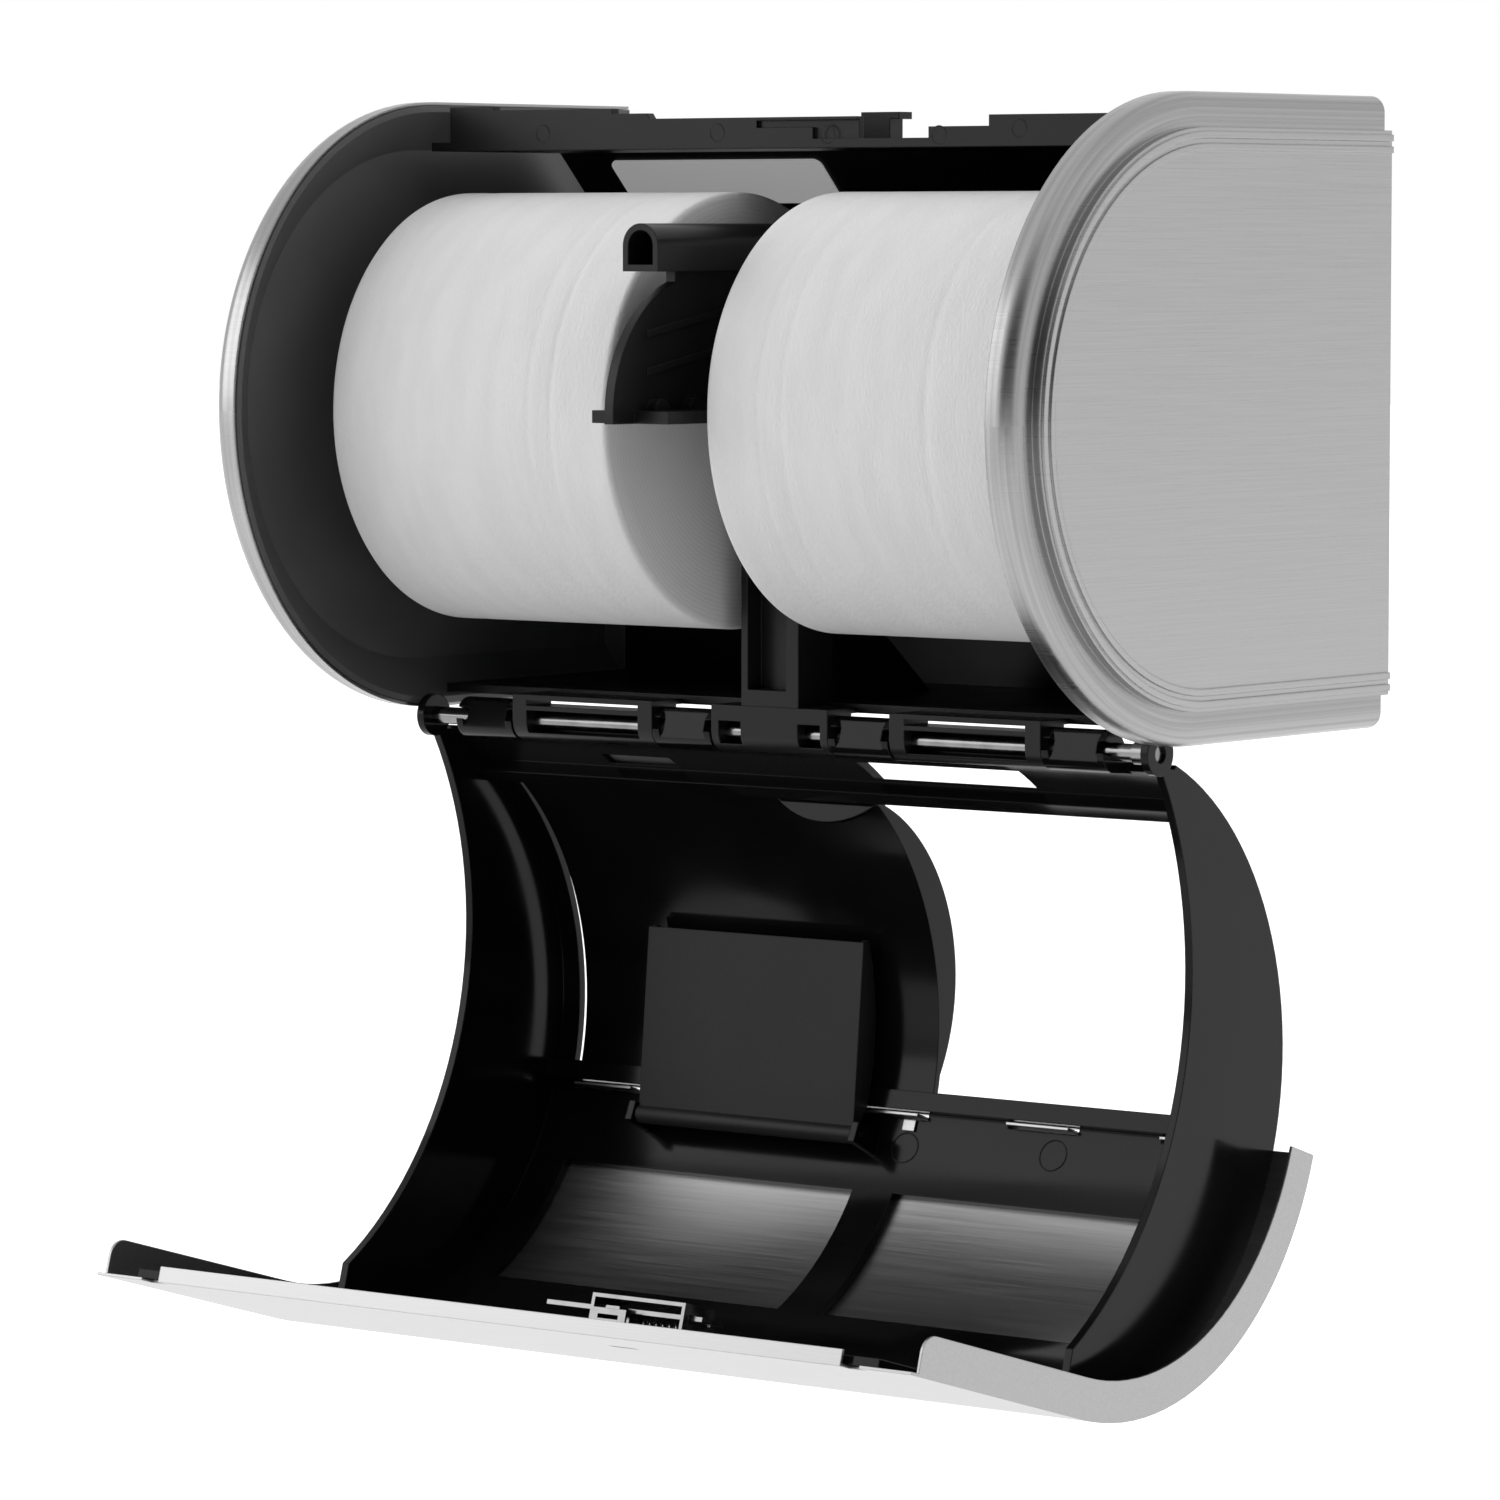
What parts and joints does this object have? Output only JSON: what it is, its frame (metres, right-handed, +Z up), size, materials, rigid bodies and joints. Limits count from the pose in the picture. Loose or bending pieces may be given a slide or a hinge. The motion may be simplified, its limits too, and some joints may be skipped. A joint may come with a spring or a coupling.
{
  "type": "toilet paper dispenser",
  "caption": "Wall-held dispenser for side-by-side coreless paper rolls with a swing-down stainless cover, sliding inner door, sprung roll hubs and a hidden latch.",
  "frame": {"origin": "centre of the wall face, level with the roll axis", "axes": "+X to the right seen from the room, +Y into the wall, +Z up; the front faces -Y"},
  "size_m": [0.2768, 0.2193, 0.3461],
  "materials": {
    "black_plastic": "fine moulded texture",
    "gloss_black": "smooth moulded",
    "stainless": "fine linear brushing",
    "zinc_steel": "bright zinc plated",
    "spring_wire": "drawn wire",
    "paper": "soft wound tissue",
    "label": "bare plate"
  },
  "bodies": {
    "chassis": {"back_chassis": "black_plastic", "left_end_wall": "black_plastic", "right_end_wall": "black_plastic", "left_end_cap": "stainless", "right_end_cap": "stainless", "label_plate": "label", "centre_roll_arm": "black_plastic", "arm_screw_left": "zinc_steel", "arm_screw_right": "zinc_steel", "hinge_rod": "zinc_steel", "left_hub_collar": "black_plastic", "right_hub_collar": "black_plastic", "left_hub_spring": "spring_wire", "right_hub_spring": "spring_wire"},
    "cover": {"cover_liner": "black_plastic", "cover_skin": "stainless", "flap_pin": "zinc_steel", "latch_bracket": "zinc_steel", "latch_rivet_left": "zinc_steel", "latch_rivet_right": "zinc_steel", "latch_spring": "spring_wire"},
    "door": {"sliding_door": "gloss_black"},
    "flap": {"roll_flap": "gloss_black"},
    "latch": {"latch_plate": "zinc_steel"},
    "left_hub": {"left_hub": "black_plastic"},
    "right_hub": {"right_hub": "black_plastic"},
    "left_roll": {"left_roll": "paper"},
    "right_roll": {"right_roll": "paper"}
  },
  "joints": [
    {"name": "cover_hinge", "type": "hinge", "parent": "chassis", "child": "cover", "pos_m": [0, -0.0924, -0.08806], "axis": [-1, 0, 0], "range_deg": [0, 164]},
    {"name": "door_slide", "type": "slide", "parent": "cover", "child": "door", "axis": [1, 0, 0], "range_m": [0, 0.099]},
    {"name": "flap_hinge", "type": "hinge", "parent": "cover", "child": "flap", "pos_m": [0, -0.05038, -0.20363], "axis": [1, 0, 0], "range_deg": [0, 6]},
    {"name": "latch_slide", "type": "slide", "parent": "cover", "child": "latch", "axis": [-1, 0, 0], "range_m": [0, 0.003], "stiffness_N_per_m": 100, "deforming": ["latch_spring"]},
    {"name": "left_hub_slide", "type": "slide", "parent": "chassis", "child": "left_hub", "axis": [-1, 0, 0], "range_m": [0, 0.0085], "stiffness_N_per_m": 300, "springref_m": -0.004, "deforming": ["left_hub_spring"]},
    {"name": "right_hub_slide", "type": "slide", "parent": "chassis", "child": "right_hub", "axis": [1, 0, 0], "range_m": [0, 0.0085], "stiffness_N_per_m": 300, "springref_m": -0.004, "deforming": ["right_hub_spring"]},
    {"name": "left_roll_spin", "type": "hinge", "parent": "chassis", "child": "left_roll", "pos_m": [0, -0.088, 0], "axis": [1, 0, 0], "continuous": true},
    {"name": "right_roll_spin", "type": "hinge", "parent": "chassis", "child": "right_roll", "pos_m": [0, -0.088, 0], "axis": [1, 0, 0], "continuous": true}
  ]
}
